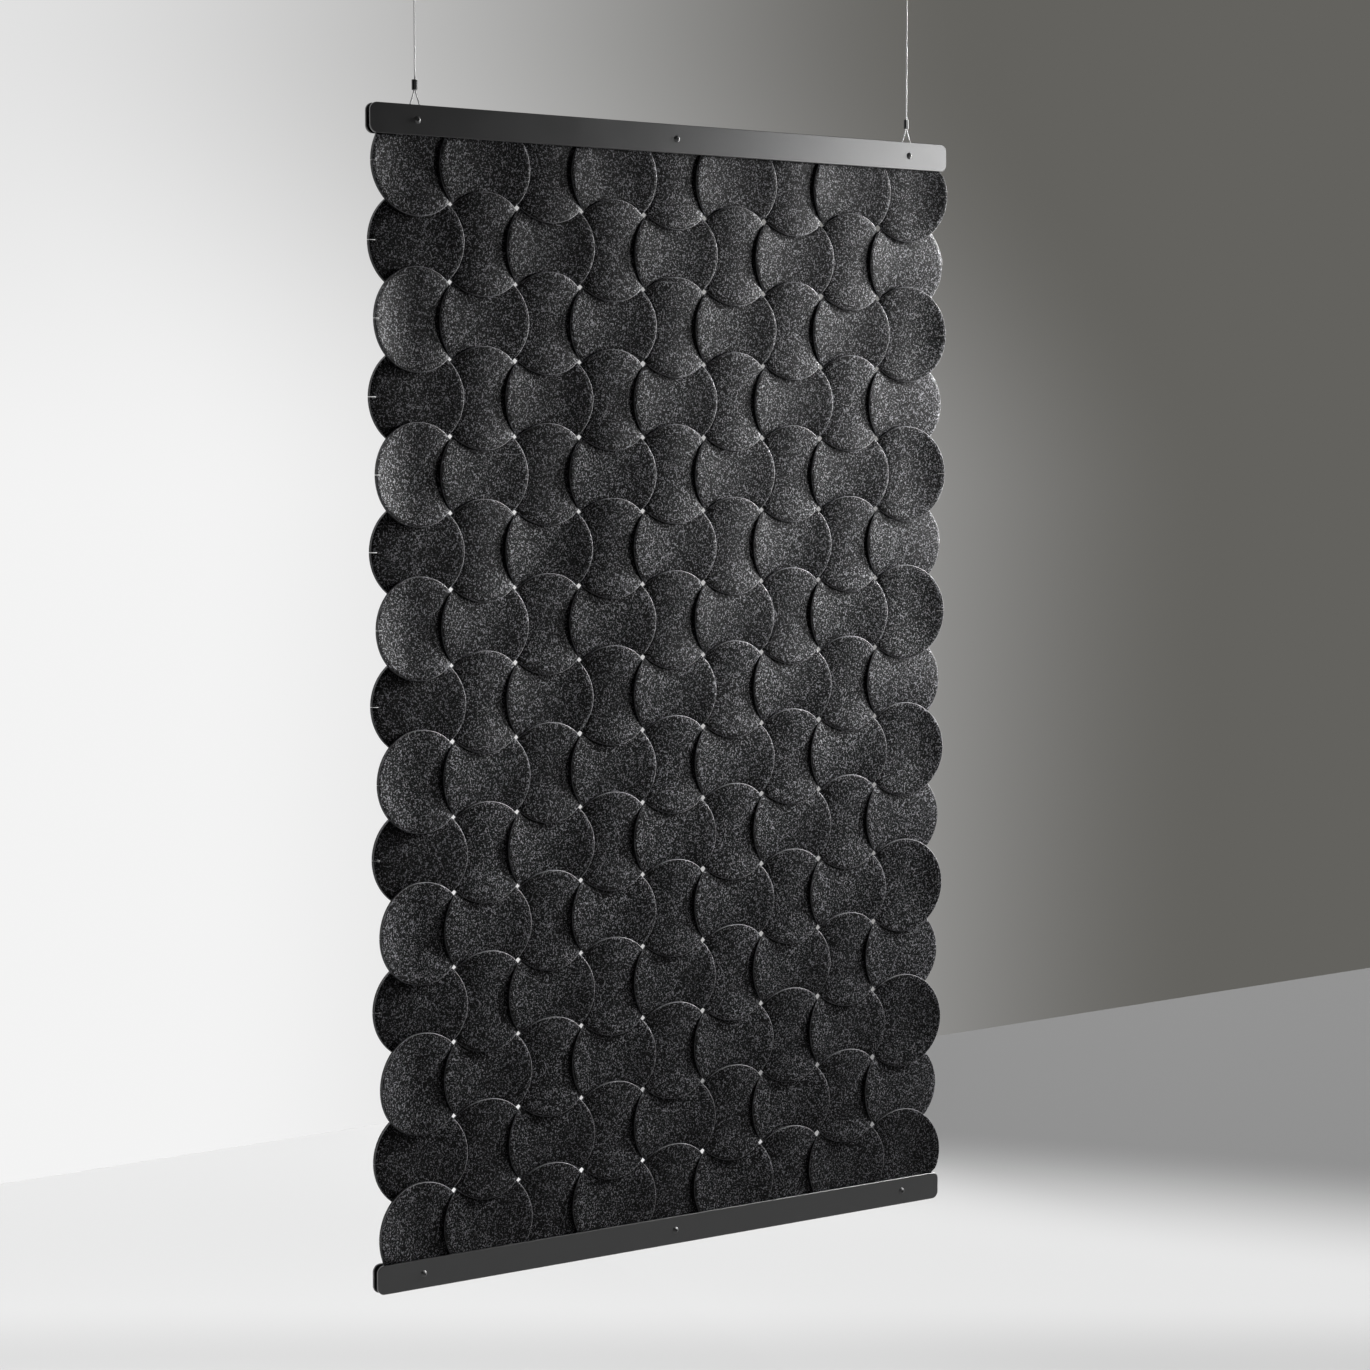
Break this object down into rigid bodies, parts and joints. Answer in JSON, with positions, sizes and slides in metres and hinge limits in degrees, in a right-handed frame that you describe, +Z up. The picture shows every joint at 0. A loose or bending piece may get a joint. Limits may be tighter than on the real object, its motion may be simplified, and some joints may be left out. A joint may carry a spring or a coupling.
{
  "type": "hanging felt panel",
  "caption": "Hanging room divider of charcoal felt discs woven over and under each other, held between flat black bars at top and bottom and hung from the ceiling on steel wires.",
  "frame": {"origin": "on the ceiling, midway between the two ceiling screws", "axes": "+X along the bars, to the right seen from the front; -Y out of the front; +Z up"},
  "size_m": [0.749, 0.0215, 1.4328],
  "materials": {
    "felt": "dense charcoal wool felt, mottled with light grey fibres",
    "bar": "satin black powder coat",
    "screw": "black oxide, slightly glossy",
    "steel": "turned stainless steel",
    "wire": "stranded stainless steel wire",
    "ferrule": "black pressed metal"
  },
  "bodies": {
    "ceiling": {"left_ceiling_base": "steel", "left_ceiling_cup": "steel", "right_ceiling_base": "steel", "right_ceiling_cup": "steel"},
    "left_ball": {"left_ball": "steel"},
    "left_wire": {"left_wire": "wire", "left_ferrule": "ferrule", "left_wire_stop": "steel"},
    "left_bush": {"left_bush": "steel"},
    "right_ball": {"right_ball": "steel"},
    "right_wire": {"right_wire": "wire", "right_ferrule": "ferrule", "right_wire_stop": "steel"},
    "right_bush": {"right_bush": "steel"},
    "panel": {"top_front_plate": "bar", "top_back_plate": "bar", "bottom_front_plate": "bar", "bottom_back_plate": "bar", "top_screws": "screw", "bottom_screws": "screw", "top_spacer": "steel", "bottom_spacers": "steel", "row_01_upright_discs": "felt", "row_01_crosswise_discs": "felt", "row_02_upright_discs": "felt", "row_02_crosswise_discs": "felt", "row_03_upright_discs": "felt", "row_03_crosswise_discs": "felt", "row_04_upright_discs": "felt", "row_04_crosswise_discs": "felt", "row_05_upright_discs": "felt", "row_05_crosswise_discs": "felt", "row_06_upright_discs": "felt", "row_06_crosswise_discs": "felt", "row_07_upright_discs": "felt", "row_07_crosswise_discs": "felt", "row_08_upright_discs": "felt", "row_08_crosswise_discs": "felt", "row_09_upright_discs": "felt", "row_09_crosswise_discs": "felt", "row_10_upright_discs": "felt", "row_10_crosswise_discs": "felt", "row_11_upright_discs": "felt", "row_11_crosswise_discs": "felt", "row_12_upright_discs": "felt", "row_12_crosswise_discs": "felt", "row_13_upright_discs": "felt", "row_13_crosswise_discs": "felt", "row_14_upright_discs": "felt", "row_14_crosswise_discs": "felt", "row_15_upright_discs": "felt", "row_15_crosswise_discs": "felt"}
  },
  "joints": [
    {"name": "swing", "type": "hinge", "parent": "ceiling", "child": "left_ball", "pos_m": [-0.32, 0, -0.02032], "axis": [1, 0, 0], "range_deg": [-12, 12]},
    {"name": "sway", "type": "hinge", "parent": "left_ball", "child": "left_wire", "pos_m": [-0.32, 0, -0.02032], "axis": [0, 1, 0], "range_deg": [-8, 8]},
    {"name": "level", "type": "hinge", "parent": "left_wire", "child": "left_bush", "pos_m": [-0.32, 0, -0.21032], "axis": [0, 1, 0], "range_deg": [-8, 8]},
    {"name": "tilt", "type": "hinge", "parent": "left_bush", "child": "panel", "pos_m": [-0.32, 0, -0.21032], "axis": [1, 0, 0], "range_deg": [-6, 6]},
    {"name": "right_swing", "type": "hinge", "parent": "ceiling", "child": "right_ball", "pos_m": [0.32, 0, -0.02032], "axis": [1, 0, 0], "range_deg": [-12, 12]},
    {"name": "right_sway", "type": "hinge", "parent": "right_ball", "child": "right_wire", "pos_m": [0.32, 0, -0.02032], "axis": [0, 1, 0], "range_deg": [-8, 8]},
    {"name": "right_level", "type": "hinge", "parent": "right_wire", "child": "right_bush", "pos_m": [0.32, 0, -0.21032], "axis": [0, 1, 0], "range_deg": [-8, 8]}
  ],
  "couplings": [
    {"joint": "level", "follows": "sway", "ratio": -1},
    {"joint": "right_swing", "follows": "swing", "ratio": 1},
    {"joint": "right_sway", "follows": "sway", "ratio": 1},
    {"joint": "right_level", "follows": "sway", "ratio": -1}
  ]
}
